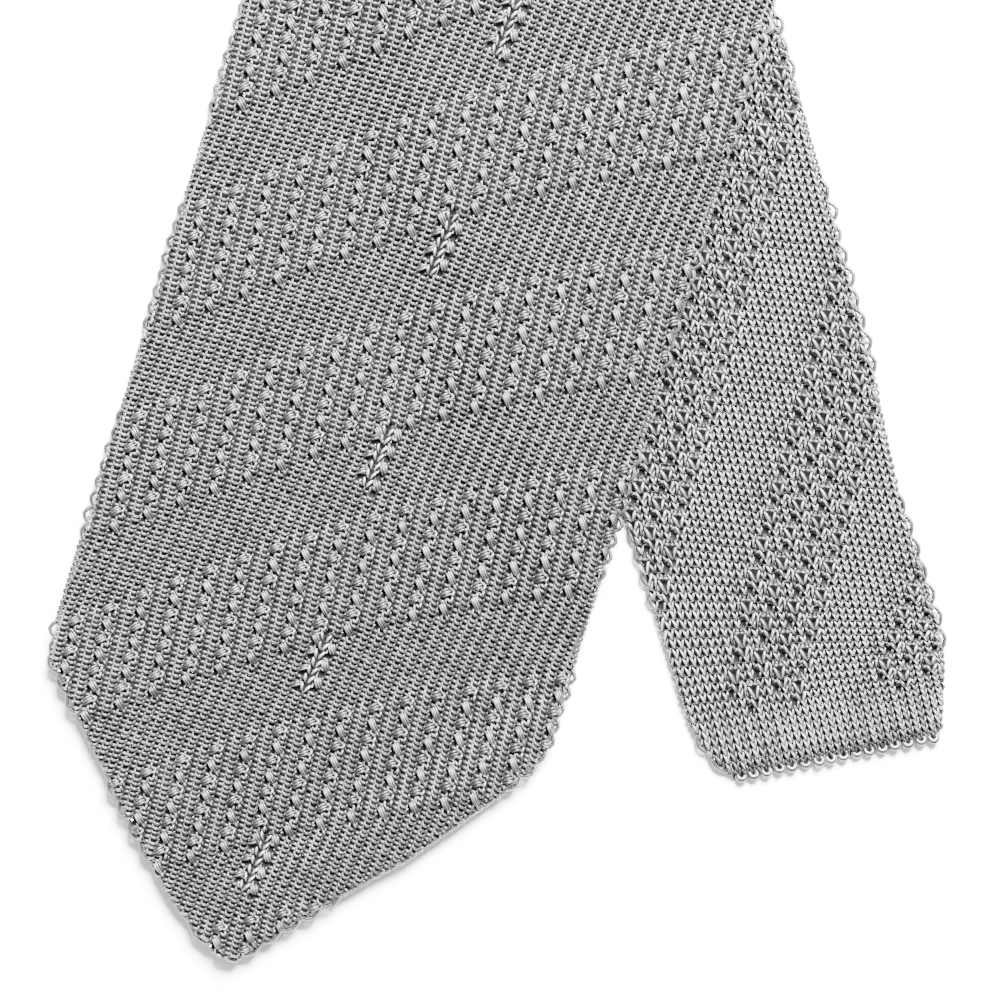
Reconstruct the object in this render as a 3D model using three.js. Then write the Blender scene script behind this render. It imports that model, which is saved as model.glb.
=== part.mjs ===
// A long knitted tie laid flat: the wide pointed blade lies on top, the neck folds over, and the
// narrow tail comes back down beneath it. Seen from above the two legs cross near the blade's top
// and enclose a slim loop up to the fold. Millimetres, +Z up, and the cloth rests on z = 0.
import * as THREE from 'three';

// The knitted cloth
const knitThickness = 2.0;
const clearance = 0.3; // between two pieces, and between two layers that rest on each other
const edgeRound = 0.9; // how far in from an edge the cloth has its whole thickness
const edgeThickness = 0.9; // of the cloth at its very edge

// The blade, measured from its middle line, with the tip at its lower end
const bladeLength = 200; // from the crossing of the two legs to the tip
const bladeLeft = 41.5;
const bladeRight = 43.8;
const bladeLean = 16.8; // degrees to the right of straight up
const pointLength = 51;
const taperLength = 255; // over which the blade and the tail narrow to the neck

// The tail, measured from its middle line
const tailLength = 165.5; // from the crossing to the loops at its end
const tailHalfWidth = 23;
const tailLean = 16.3; // degrees to the left of straight up
const tailShapedLength = 118; // the stretch whose outline the table gives
const tailEndTilt = 4.9; // degrees that the end is turned from square
const tailTiltFade = 40; // the stretch over which that turn dies out

// The neck and its fold
const neckHalfWidth = 17;
const legReach = 532; // from the crossing straight up to the fold
const foldHollow = 1.5; // inner radius of the soft fold
const foldRelax = 34; // the stretch over which the upper leg comes down from the fold

// How a layer climbs over what lies beneath it
const layMargin = 9; // it stays up for this far beside the lower piece
const layRamp = 18; // and comes down over this far

// The raised diagonal bands of bubble stitch
const bandRise = 0.4;
const bladeBand = { first: 22.5, period: 36.1, height: 20, slope: 0.64, bend: 0.003 };
const tailBand = { first: 23.5, period: 50.7, height: 29.5, slope: 2.03, bend: 0 };
const bandEdge = 4; // the stretch over which a band rises

// The hems turned under along the two edges of the point
const hemThickness = 1.2;
const hemDepth = 9; // measured along the blade
const hemInset = 0.7; // of a hem's outer edge from the blade's edge
const hemRamp = 9;
const hemLeastWidth = 1.2; // where a hem narrows to this beside the shoulder, it ends

// The cast-off loops along the tail's end
const loopPitch = 2.2;
const loopReach = 1.9; // of a whole loop beyond the cloth
const loopNeck = 1.0; // of the edge between two loops
const loopSteps = 4;

// How finely the cloth is divided
const pointStep = 3;
const bladeStep = 6;
const legStep = 10;
const bladeColumns = 15;
const tailColumns = 8;
const neckColumns = 5;
const hemColumns = 2;
const foldSteps = 10;

// The point's outline. from_tip is a share of pointLength, and left and right are shares of the
// blade's two half widths, so the first row is the small blunt tip, a little right of the middle.
const pointOutline = [
  { from_tip: 0.0, left: -0.03, right: 0.085 },
  { from_tip: 0.03, left: 0.045, right: 0.115 },
  { from_tip: 0.14, left: 0.24, right: 0.225 },
  { from_tip: 0.3, left: 0.435, right: 0.395 },
  { from_tip: 0.49, left: 0.655, right: 0.615 },
  { from_tip: 0.67, left: 0.862, right: 0.78 },
  { from_tip: 0.785, left: 0.985, right: 0.885 },
  { from_tip: 0.92, left: 1.0, right: 0.98 },
  { from_tip: 1.0, left: 1.0, right: 1.0 },
];

// The tail's outline near its end. from_end is a share of tailShapedLength, and left and right are
// shares of tailHalfWidth.
const tailOutline = [
  { from_end: 0.0, left: 0.76, right: 0.765 },
  { from_end: 0.025, left: 0.87, right: 0.82 },
  { from_end: 0.06, left: 0.94, right: 0.88 },
  { from_end: 0.095, left: 0.98, right: 0.94 },
  { from_end: 0.15, left: 0.985, right: 1.0 },
  { from_end: 0.34, left: 0.99, right: 0.98 },
  { from_end: 0.56, left: 1.02, right: 1.07 },
  { from_end: 1.0, left: 1.04, right: 1.1 },
];

const knitMaterial = new THREE.MeshStandardMaterial({ color: 0x8b8b88, roughness: 0.8, metalness: 0 });
const hemMaterial = new THREE.MeshStandardMaterial({ color: 0x74746f, roughness: 0.85, metalness: 0 });

const foldRadius = foldHollow + knitThickness / 2; // of the middle of the cloth
const layerHeight = knitThickness + bandRise + clearance;
const hemHeight = hemThickness + clearance;

// A smooth step from 0 to 1
const ease = (share) => THREE.MathUtils.smoothstep(share, 0, 1);

// Reads one column of a table at a place in another, with straight lines between the rows.
function lookUp(table, key, at, column) {
  const next = table.findIndex((row) => row[key] >= at);
  if (next < 0) return table[table.length - 1][column];
  if (next === 0) return table[0][column];
  const low = table[next - 1];
  const high = table[next];
  return THREE.MathUtils.mapLinear(at, low[key], high[key], low[column], high[column]);
}

// One leg seen from above: straight below the crossing, then an arc up to the fold. side is 1 for
// the blade's leg and -1 for the tail's. s is the distance from the crossing, positive upwards.
function makeLeg(side, leanDegrees) {
  const lean = THREE.MathUtils.degToRad(leanDegrees);
  const radius = legReach / (2 * Math.sin(lean));
  const arcLength = 2 * radius * lean;
  const foldShift = (Math.tan(lean) * Math.PI * foldRadius) / 2;
  function at(s) {
    if (s <= 0) return { x: side * Math.sin(lean) * s, y: Math.cos(lean) * s, heading: side * lean };
    const turn = s / radius - lean;
    const bow = radius * (Math.cos(turn) - Math.cos(lean));
    return {
      x: side * (bow + foldShift * (s / arcLength) ** 2),
      y: legReach / 2 + radius * Math.sin(turn),
      heading: -side * turn,
    };
  }
  function distanceAtHeight(y) {
    if (y <= 0) return y / Math.cos(lean);
    const sine = THREE.MathUtils.clamp((y - legReach / 2) / radius, -1, 1);
    return radius * (Math.asin(sine) + lean);
  }
  return { at, distanceAtHeight, arcLength, middle: arcLength / 2 };
}

const bladeLeg = makeLeg(1, bladeLean);
const tailLeg = makeLeg(-1, tailLean);

// Half widths of the blade at a distance from its tip
function bladeWidths(fromTip) {
  const share = fromTip / pointLength;
  const narrowing = ease((fromTip - bladeLength) / taperLength);
  const left = THREE.MathUtils.lerp(bladeLeft, neckHalfWidth, narrowing);
  const right = THREE.MathUtils.lerp(bladeRight, neckHalfWidth, narrowing);
  return {
    left: left * lookUp(pointOutline, 'from_tip', share, 'left'),
    right: right * lookUp(pointOutline, 'from_tip', share, 'right'),
  };
}

// Half widths of the tail at a distance from its end
function tailWidths(fromEnd) {
  const share = fromEnd / tailShapedLength;
  const narrowing = ease((fromEnd - tailLength) / taperLength);
  const left = tailHalfWidth * lookUp(tailOutline, 'from_end', share, 'left');
  const right = tailHalfWidth * lookUp(tailOutline, 'from_end', share, 'right');
  return {
    left: THREE.MathUtils.lerp(left, neckHalfWidth, narrowing),
    right: THREE.MathUtils.lerp(right, neckHalfWidth, narrowing),
  };
}

// How far the cloth stands up in the diagonal bands, from 0 between them to bandRise on them
function bandHeight(band, across, fromEnd) {
  const edge = band.slope * across - band.bend * across * across;
  const place = THREE.MathUtils.euclideanModulo(fromEnd - edge - band.first, band.period);
  return bandRise * ease(place / bandEdge) * ease((band.height - place) / bandEdge);
}

// How high the upper cloth lies because the tail's leg is beneath it
function heightOverTail(x, y) {
  const s = tailLeg.distanceAtHeight(y);
  const centre = tailLeg.at(Math.min(s, tailLeg.arcLength));
  const widths = tailWidths(s + tailLength);
  const across = (x - centre.x) * Math.cos(centre.heading);
  const beside = across < 0 ? -across - widths.left : across - widths.right;
  return layerHeight * ease(1 - (beside - layMargin) / layRamp);
}

// How far from the tip the point's outline is, at a place across the blade
function outlineFromTip(across) {
  const [side, full] = across < 0 ? ['left', bladeLeft] : ['right', bladeRight];
  const share = Math.abs(across) / full;
  const reached = pointOutline.findIndex((row) => row[side] >= share);
  if (reached < 0) return pointLength;
  if (reached === 0) return 0;
  const low = pointOutline[reached - 1];
  const high = pointOutline[reached];
  return pointLength * THREE.MathUtils.mapLinear(share, low[side], high[side], low.from_tip, high.from_tip);
}

// How high the blade lies because a hem is turned under its point
function heightOverHem(across, fromTip) {
  const inside = fromTip - outlineFromTip(across);
  return hemHeight * ease(1 - (inside - hemDepth - pointStep) / hemRamp);
}

// The places across a row, from its left edge to its right, each with the thickness there
function rowPlaces(left, right, columns) {
  const round = Math.min(edgeRound, (left + right) / 5);
  const places = [{ across: -left, thickness: edgeThickness }];
  for (let column = 0; column <= columns; column++) {
    const across = THREE.MathUtils.lerp(round - left, right - round, column / columns);
    places.push({ across, thickness: knitThickness });
  }
  places.push({ across: right, thickness: edgeThickness });
  return places;
}

// A closed sheet from rows of [under, over] corner pairs, listed upwards and from left to right
function sheetGeometry(rows) {
  const columns = rows[0].length;
  const positions = [];
  for (const row of rows) {
    for (const [under, over] of row) positions.push(...under, ...over);
  }
  const under = (i, j) => 2 * (i * columns + j);
  const over = (i, j) => under(i, j) + 1;
  const index = [];
  const quad = (a, b, c, d) => index.push(a, b, c, a, c, d);
  for (let i = 0; i < rows.length - 1; i++) {
    for (let j = 0; j < columns - 1; j++) {
      quad(over(i, j), over(i, j + 1), over(i + 1, j + 1), over(i + 1, j));
      quad(under(i, j), under(i + 1, j), under(i + 1, j + 1), under(i, j + 1));
    }
    quad(under(i, 0), over(i, 0), over(i + 1, 0), under(i + 1, 0));
    const last = columns - 1;
    quad(under(i, last), under(i + 1, last), over(i + 1, last), over(i, last));
  }
  const top = rows.length - 1;
  for (let j = 0; j < columns - 1; j++) {
    quad(under(0, j), under(0, j + 1), over(0, j + 1), over(0, j));
    quad(under(top, j), over(top, j), over(top, j + 1), under(top, j + 1));
  }
  const geometry = new THREE.BufferGeometry();
  geometry.setAttribute('position', new THREE.Float32BufferAttribute(positions, 3));
  geometry.setIndex(index);
  geometry.computeVertexNormals();
  return geometry;
}

function sheetMesh(name, rows, material = knitMaterial) {
  const mesh = new THREE.Mesh(sheetGeometry(rows), material);
  mesh.name = name;
  return mesh;
}

// Even steps from one distance to another, each no longer than the step given
function distances(from, to, step) {
  const count = Math.max(1, Math.ceil(Math.abs(to - from) / step));
  return Array.from({ length: count + 1 }, (_, i) => THREE.MathUtils.lerp(from, to, i / count));
}

// A pair of corners for cloth that lies with its underside at a height
const layFlat = (x, y, underside, thickness, whole) => {
  const middle = underside + whole / 2;
  return [
    [x, y, middle - thickness / 2],
    [x, y, middle + thickness / 2],
  ];
};

// A place beside a leg's middle line, for a row that may be turned from square
function beside(station, across, turn = 0) {
  const angle = station.heading + turn;
  return [station.x + across * Math.cos(angle), station.y - across * Math.sin(angle)];
}

function wideBlade() {
  const top = bladeLength + bladeLeg.middle - clearance / 2;
  const rampEnd = pointLength + hemDepth + hemRamp;
  const steps = [
    ...distances(0, rampEnd, pointStep),
    ...distances(rampEnd, bladeLength, bladeStep).slice(1),
    ...distances(bladeLength, top, legStep).slice(1),
  ];
  const rows = steps.map((fromTip) => {
    const station = bladeLeg.at(fromTip - bladeLength);
    const { left, right } = bladeWidths(fromTip);
    return rowPlaces(left, right, bladeColumns).map(({ across, thickness }) => {
      const [x, y] = beside(station, across);
      const height = Math.max(heightOverTail(x, y), heightOverHem(across, fromTip));
      const corners = layFlat(x, y, height, thickness, knitThickness);
      if (thickness === knitThickness) corners[1][2] += bandHeight(bladeBand, across, fromTip);
      return corners;
    });
  });
  return sheetMesh('wide_blade', rows);
}

// The end of the tail is a little out of square, and the turn dies out up the tail.
const tailTurn = (fromEnd) => THREE.MathUtils.degToRad(tailEndTilt) * ease(1 - fromEnd / tailTiltFade);

function narrowTail() {
  const top = tailLength + tailLeg.middle - clearance / 2;
  const steps = [
    ...distances(loopReach, tailLength, bladeStep),
    ...distances(tailLength, top, legStep).slice(1),
  ];
  const rows = steps.map((fromEnd) => {
    const station = tailLeg.at(fromEnd - tailLength);
    const { left, right } = tailWidths(fromEnd);
    return rowPlaces(left, right, tailColumns).map(({ across, thickness }) => {
      const [x, y] = beside(station, across, tailTurn(fromEnd));
      const corners = layFlat(x, y, 0, thickness, knitThickness);
      if (thickness === knitThickness) corners[1][2] += bandHeight(tailBand, across, fromEnd);
      return corners;
    });
  });
  return sheetMesh('narrow_tail', rows);
}

// The row of cast-off loops along the tail's end, each a small round bump
function tailEndEdge() {
  const { left, right } = tailWidths(loopReach);
  const loops = Math.round((left + right) / loopPitch);
  const turn = tailTurn(loopReach);
  const station = tailLeg.at(loopReach - tailLength);
  const down = station.heading + turn + Math.PI;
  const rows = Array.from({ length: loops * loopSteps + 1 }, (_, i) => {
    const across = THREE.MathUtils.lerp(left, -right, i / (loops * loopSteps));
    const [x, y] = beside(station, -across, turn);
    const bulge = Math.abs(Math.sin((Math.PI * i) / loopSteps)) ** 0.6;
    const reach = THREE.MathUtils.lerp(loopNeck, loopReach, bulge);
    const depths = [clearance, (clearance + reach) / 2, reach];
    const thicknesses = [knitThickness * 0.8, knitThickness, edgeThickness];
    return depths.map((depth, j) => {
      const thickness = thicknesses[j] * THREE.MathUtils.lerp(0.75, 1, bulge);
      return layFlat(x + depth * Math.sin(down), y + depth * Math.cos(down), 0, thickness, knitThickness);
    });
  });
  return sheetMesh('tail_end_edge', rows, hemMaterial);
}

// The neck lies square to the fold. The lower leg runs up to it, the cloth turns over, and the
// upper leg runs down again, so a row's inner face is the one that faces the other leg.
function neckBand() {
  const rowAcross = (station) => {
    const halfWidth = neckHalfWidth / Math.cos(station.heading);
    return rowPlaces(halfWidth, halfWidth, neckColumns);
  };
  const rows = [];
  for (const s of distances(tailLeg.middle + clearance / 2, tailLeg.arcLength, legStep)) {
    const { x, y, heading } = tailLeg.at(s);
    const row = rowAcross({ heading });
    rows.push(row.map(({ across, thickness }) => layFlat(x + across, y, 0, thickness, knitThickness)));
  }
  const low = tailLeg.at(tailLeg.arcLength);
  const high = bladeLeg.at(bladeLeg.arcLength);
  for (let step = 1; step < foldSteps; step++) {
    const angle = (Math.PI * step) / foldSteps;
    const x = THREE.MathUtils.lerp(low.x, high.x, step / foldSteps);
    const row = rowAcross({ heading: low.heading });
    rows.push(
      row.map(({ across, thickness }) =>
        [foldRadius + thickness / 2, foldRadius - thickness / 2].map((radius) => [
          x + across,
          legReach + radius * Math.sin(angle),
          knitThickness / 2 + foldRadius - radius * Math.cos(angle),
        ]),
      ),
    );
  }
  for (const s of distances(bladeLeg.arcLength, bladeLeg.middle + clearance / 2, legStep)) {
    const { x, y, heading } = bladeLeg.at(s);
    const above = (2 * foldRadius - layerHeight) * ease(1 - (legReach - y) / foldRelax);
    rows.push(
      rowAcross({ heading }).map(({ across, thickness }) => {
        const height = heightOverTail(x + across, y) + above;
        return layFlat(x + across, y, height, thickness, knitThickness).reverse();
      }),
    );
  }
  return sheetMesh('neck_band', rows);
}

// One of the two strips turned under along the point, from the mitre at the tip to the shoulder.
// It lies between the point's outline and the same outline moved up the blade by hemDepth.
function pointHem(name, side) {
  const key = side < 0 ? 'left' : 'right';
  const tip = bladeWidths(0);
  const tipMiddle = (tip.right - tip.left) / 2;
  const rows = [];
  for (const fromTip of distances(hemInset, pointLength + hemDepth, pointStep)) {
    const outer = side * (bladeWidths(fromTip)[key] - hemInset);
    const mitre = tipMiddle + (side * clearance) / 2;
    const inner = fromTip < hemDepth ? mitre : side * bladeWidths(fromTip - hemDepth)[key];
    if (side * (outer - inner) < hemLeastWidth) continue;
    const station = bladeLeg.at(fromTip - bladeLength);
    const [from, to] = side < 0 ? [outer, inner] : [inner, outer];
    rows.push(
      distances(from, to, Math.abs(to - from) / hemColumns).map((across) => {
        const [x, y] = beside(station, across);
        return layFlat(x, y, 0, hemThickness, hemThickness);
      }),
    );
  }
  return sheetMesh(name, rows, hemMaterial);
}

const tie = new THREE.Group();
tie.add(
  wideBlade(),
  pointHem('point_hem_left', -1),
  pointHem('point_hem_right', 1),
  neckBand(),
  narrowTail(),
  tailEndEdge(),
);

// The origin is in the middle of the tie's outline, on the surface that it lies on.
const extent = new THREE.Box3().setFromObject(tie);
const middle = extent.getCenter(new THREE.Vector3());
tie.position.set(-middle.x, -middle.y, -extent.min.z);

export default tie;
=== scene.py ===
"""A long tie of grey knitted silk, laid flat: the pointed blade on top, the tail beneath it.

Lengths are in millimetres until a mesh is made. The tie has its own plan, with its origin where the
two legs cross, x to the right and y up the tie, and `Plan` puts that into the frame.
"""

import math

import bpy
import numpy as np
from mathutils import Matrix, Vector


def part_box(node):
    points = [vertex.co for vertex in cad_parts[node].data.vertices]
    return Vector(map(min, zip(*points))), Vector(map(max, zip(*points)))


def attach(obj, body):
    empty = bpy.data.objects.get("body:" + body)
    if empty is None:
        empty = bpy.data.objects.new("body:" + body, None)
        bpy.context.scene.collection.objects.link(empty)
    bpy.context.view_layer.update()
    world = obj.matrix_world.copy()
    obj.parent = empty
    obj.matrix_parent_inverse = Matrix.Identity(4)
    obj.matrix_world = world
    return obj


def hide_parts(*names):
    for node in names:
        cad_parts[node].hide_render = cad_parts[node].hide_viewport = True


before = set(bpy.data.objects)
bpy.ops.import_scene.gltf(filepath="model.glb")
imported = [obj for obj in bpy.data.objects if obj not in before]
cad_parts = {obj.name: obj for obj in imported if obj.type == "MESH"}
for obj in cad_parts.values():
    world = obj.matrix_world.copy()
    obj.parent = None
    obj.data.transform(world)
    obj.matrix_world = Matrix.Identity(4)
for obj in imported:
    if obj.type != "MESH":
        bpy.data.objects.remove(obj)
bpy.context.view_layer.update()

METRES = 0.001  # in a millimetre

# The cloth, as it was knitted and laid
KNIT_THICKNESS = 2.0
LAYER_HEIGHT = 2.7  # of the blade's underside where the tail is beneath it
HEM_HEIGHT = 1.5  # of the blade's underside where its hem is turned under
HEM_THICKNESS = 1.2
BAND_RISE = 0.4

BLADE_LENGTH = 200.0
BLADE_LEFT = 41.5
BLADE_RIGHT = 43.8
BLADE_LEAN = 16.8
POINT_LENGTH = 51.0
TAPER_LENGTH = 255.0

TAIL_LENGTH = 165.5
TAIL_HALF_WIDTH = 23.0
TAIL_LEAN = 16.3
TAIL_SHAPED_LENGTH = 118.0
TAIL_END_TILT = 4.9
TAIL_TILT_FADE = 40.0

NECK_HALF_WIDTH = 17.0
LEG_REACH = 532.0
FOLD_HOLLOW = 1.5
FOLD_RELAX = 34.0
LAY_MARGIN = 9.0
LAY_RAMP = 18.0
HEM_DEPTH = 9.0
HEM_RAMP = 12.0
HEM_INSET = 0.7

# The point's outline, in shares of POINT_LENGTH, BLADE_LEFT and BLADE_RIGHT
POINT_OUTLINE = (
    {"from_tip": 0.0, "left": -0.03, "right": 0.085},
    {"from_tip": 0.03, "left": 0.045, "right": 0.115},
    {"from_tip": 0.14, "left": 0.24, "right": 0.225},
    {"from_tip": 0.3, "left": 0.435, "right": 0.395},
    {"from_tip": 0.49, "left": 0.655, "right": 0.615},
    {"from_tip": 0.67, "left": 0.862, "right": 0.78},
    {"from_tip": 0.785, "left": 0.985, "right": 0.885},
    {"from_tip": 0.92, "left": 1.0, "right": 0.98},
    {"from_tip": 1.0, "left": 1.0, "right": 1.0},
)

# The tail's outline, in shares of TAIL_SHAPED_LENGTH and TAIL_HALF_WIDTH
TAIL_OUTLINE = (
    {"from_end": 0.0, "left": 0.76, "right": 0.765},
    {"from_end": 0.025, "left": 0.87, "right": 0.82},
    {"from_end": 0.06, "left": 0.94, "right": 0.88},
    {"from_end": 0.095, "left": 0.98, "right": 0.94},
    {"from_end": 0.15, "left": 0.985, "right": 1.0},
    {"from_end": 0.34, "left": 0.99, "right": 0.98},
    {"from_end": 0.56, "left": 1.02, "right": 1.07},
    {"from_end": 1.0, "left": 1.04, "right": 1.1},
)

# The knitting chart. A wale is one column of stitches, and rows are counted upwards. A loop's head
# lies at a whole wale and row.
WALES = 36.2  # across the blade
EDGE_WALE = 0.4  # where the chart starts at the blade's left edge
BAND_REPEAT = 40  # rows from one band of bubble stitch to the next
BAND_ROWS = 24
BAND_SOFT = 1.5  # rows over which a band rises at its edges
BAND_CLIMB = 2.0  # rows that a band climbs for each wale
BAND_TOP = -15.0  # the row of a band's upper edge at wale 0
BAND_SPREAD = 0.147  # how much wider a wale is in a band
BUBBLE_WALES = 2  # from one column of bubbles to the next
BUBBLE_ROWS = 3  # from one bubble to the next above it
BUBBLES = 8  # in one column of a band
BUBBLE_TOP = -16.6  # the row of a band's highest bubble at wale 0

# Rows on the blade: where they lie on the middle line, and how they bend down to the right
FIRST_ROW_FROM_TIP = 22.5
ROW_PITCH = 0.85375
ROW_GROWTH = 0.000375
ROW_SLOPE_LEFT = -0.02
ROW_SLOPE_GAIN = 0.36
ROW_BEND_START = -35.0
ROW_BEND_LENGTH = 85.0


def ease(share):
    """A smooth step from 0 to 1."""
    share = np.clip(share, 0.0, 1.0)
    return share * share * (3.0 - 2.0 * share)


def mix(low, high, share):
    return low + (high - low) * share


def column(table, name):
    return np.array([row[name] for row in table])


class Leg:
    """One leg seen from above: straight below the crossing, then an arc up to the fold."""

    def __init__(self, side, lean):
        self.side = side
        self.lean = math.radians(lean)
        self.radius = LEG_REACH / (2 * math.sin(self.lean))
        self.arc = 2 * self.radius * self.lean
        fold_radius = FOLD_HOLLOW + KNIT_THICKNESS / 2
        self.fold_shift = math.tan(self.lean) * math.pi * fold_radius / 2

    def at(self, along):
        """x, y and heading at a distance above the crossing."""
        along = np.asarray(along, dtype=float)
        turn = np.maximum(along, 0.0) / self.radius - self.lean
        bow = self.radius * (np.cos(turn) - math.cos(self.lean))
        shift = self.fold_shift * (np.maximum(along, 0.0) / self.arc) ** 2
        low = np.minimum(along, 0.0)
        x = self.side * (bow + shift + math.sin(self.lean) * low)
        y = LEG_REACH / 2 + self.radius * np.sin(turn) + math.cos(self.lean) * low
        return x, y, -self.side * turn

    def place(self, along, across, turn=0.0):
        """x and y beside the leg's middle line."""
        x, y, heading = self.at(along)
        angle = heading + turn
        return x + across * np.cos(angle), y - across * np.sin(angle)

    def distance_at_height(self, y):
        sine = np.clip((y - LEG_REACH / 2) / self.radius, -1.0, 1.0)
        return np.where(y <= 0, y / math.cos(self.lean), self.radius * (np.arcsin(sine) + self.lean))


BLADE_LEG = Leg(1, BLADE_LEAN)
TAIL_LEG = Leg(-1, TAIL_LEAN)


class Plan:
    """Where the tie's own origin lies in the frame, worked out from the neck band's corners."""

    neck_low, neck_high = (np.array(corner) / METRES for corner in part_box("neck_band"))
    fold_top = LEG_REACH + FOLD_HOLLOW + KNIT_THICKNESS
    lens_x = float(TAIL_LEG.at(TAIL_LEG.arc / 2)[0]) - NECK_HALF_WIDTH
    shift = np.array([neck_low[0] - lens_x, neck_high[1] - fold_top, 0.0])

    @classmethod
    def in_frame(cls, points):
        return (np.asarray(points, dtype=float) + cls.shift) * METRES


def blade_widths(from_tip):
    """Half widths of the blade to the left and right of its middle line."""
    share = from_tip / POINT_LENGTH
    narrowing = ease((from_tip - BLADE_LENGTH) / TAPER_LENGTH)
    key = column(POINT_OUTLINE, "from_tip")
    left = mix(BLADE_LEFT, NECK_HALF_WIDTH, narrowing)
    right = mix(BLADE_RIGHT, NECK_HALF_WIDTH, narrowing)
    return (
        left * np.interp(share, key, column(POINT_OUTLINE, "left")),
        right * np.interp(share, key, column(POINT_OUTLINE, "right")),
    )


def tail_widths(from_end):
    """Half widths of the tail to the left and right of its middle line."""
    share = from_end / TAIL_SHAPED_LENGTH
    narrowing = ease((from_end - TAIL_LENGTH) / TAPER_LENGTH)
    key = column(TAIL_OUTLINE, "from_end")
    left = TAIL_HALF_WIDTH * np.interp(share, key, column(TAIL_OUTLINE, "left"))
    right = TAIL_HALF_WIDTH * np.interp(share, key, column(TAIL_OUTLINE, "right"))
    return mix(left, NECK_HALF_WIDTH, narrowing), mix(right, NECK_HALF_WIDTH, narrowing)


def tail_turn(from_end):
    return math.radians(TAIL_END_TILT) * ease(1 - from_end / TAIL_TILT_FADE)


def outline_from_tip(across):
    """How far from the tip the point's outline is, at a place across the blade."""
    key = column(POINT_OUTLINE, "from_tip") * POINT_LENGTH
    on_left = np.interp(-across / BLADE_LEFT, column(POINT_OUTLINE, "left"), key)
    on_right = np.interp(across / BLADE_RIGHT, column(POINT_OUTLINE, "right"), key)
    return np.where(across < 0, on_left, on_right)


def height_over_tail(x, y):
    along = TAIL_LEG.distance_at_height(y)
    centre_x, _, heading = TAIL_LEG.at(np.minimum(along, TAIL_LEG.arc))
    left, right = tail_widths(along + TAIL_LENGTH)
    across = (x - centre_x) * np.cos(heading)
    beside = np.where(across < 0, -across - left, across - right)
    return LAYER_HEIGHT * ease(1 - (beside - LAY_MARGIN) / LAY_RAMP)


def height_over_hem(across, from_tip):
    inside = from_tip - outline_from_tip(across)
    return HEM_HEIGHT * ease(1 - (inside - HEM_DEPTH) / HEM_RAMP)


def blade_underside(x, y, across, from_tip):
    return np.maximum(height_over_tail(x, y), height_over_hem(across, from_tip))


def row_from_tip(row):
    """How far from the tip a row lies on the blade's middle line."""
    return FIRST_ROW_FROM_TIP + ROW_PITCH * row + ROW_GROWTH * row * row


def band_place(wale, row):
    """Rows below the upper edge of the band at or above this stitch."""
    return np.mod(BAND_TOP + BAND_CLIMB * wale - row, BAND_REPEAT)


def band_share(wale, row):
    """1 on a band of bubble stitch, 0 between bands."""
    place = band_place(wale, row)
    return ease(place / BAND_SOFT) * ease((BAND_ROWS - place) / BAND_SOFT)


def wale_sway(wale, row):
    """How far to the right a wale is pushed, because wales are wider in a band than beside it."""
    repeat = BAND_REPEAT / BAND_CLIMB
    wide = BAND_ROWS / BAND_CLIMB
    share = wide / repeat
    turn = band_place(wale, row) / BAND_CLIMB
    rise = (1 - share) * wide
    sway = np.where(turn < wide, (1 - share) * turn, rise - share * (turn - wide)) - rise / 2
    return BAND_SPREAD / (1 + share * BAND_SPREAD) * sway


def row_droop(across):
    """How far a row lies below its height on the middle line."""

    def bent(place):
        share = np.clip((place - ROW_BEND_START) / ROW_BEND_LENGTH, 0.0, 1.0)
        return ROW_SLOPE_GAIN * ROW_BEND_LENGTH * (share**3 - share**4 / 2)

    return ROW_SLOPE_LEFT * across + bent(across) - bent(0.0)


def blade_stitch(wale, row):
    """Across and from_tip for a place in the blade's chart."""
    left, right = blade_widths(np.maximum(row_from_tip(row), POINT_LENGTH))
    pitch = (left + right) / WALES
    across = pitch * (wale - EDGE_WALE + wale_sway(wale, row)) - left
    return across, row_from_tip(row) - row_droop(across)


def body_mesh(name, vertices, faces, uv=None):
    """A new object from an array of places in metres and an array of quads."""
    mesh = bpy.data.meshes.new(name)
    mesh.vertices.add(len(vertices))
    mesh.vertices.foreach_set("co", np.ascontiguousarray(vertices, dtype=np.float32).ravel())
    mesh.loops.add(faces.size)
    mesh.loops.foreach_set("vertex_index", faces.astype(np.int32).ravel())
    mesh.polygons.add(len(faces))
    mesh.polygons.foreach_set("loop_start", np.arange(0, faces.size, 4, dtype=np.int32))
    if uv is not None:
        layer = mesh.uv_layers.new(name="stitches")
        layer.data.foreach_set("uv", uv[faces.ravel()].astype(np.float32).ravel())
    mesh.update(calc_edges=True)
    mesh.validate()
    mesh.shade_smooth()
    thing = bpy.data.objects.new(name, mesh)
    bpy.context.collection.objects.link(thing)
    return thing


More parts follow.
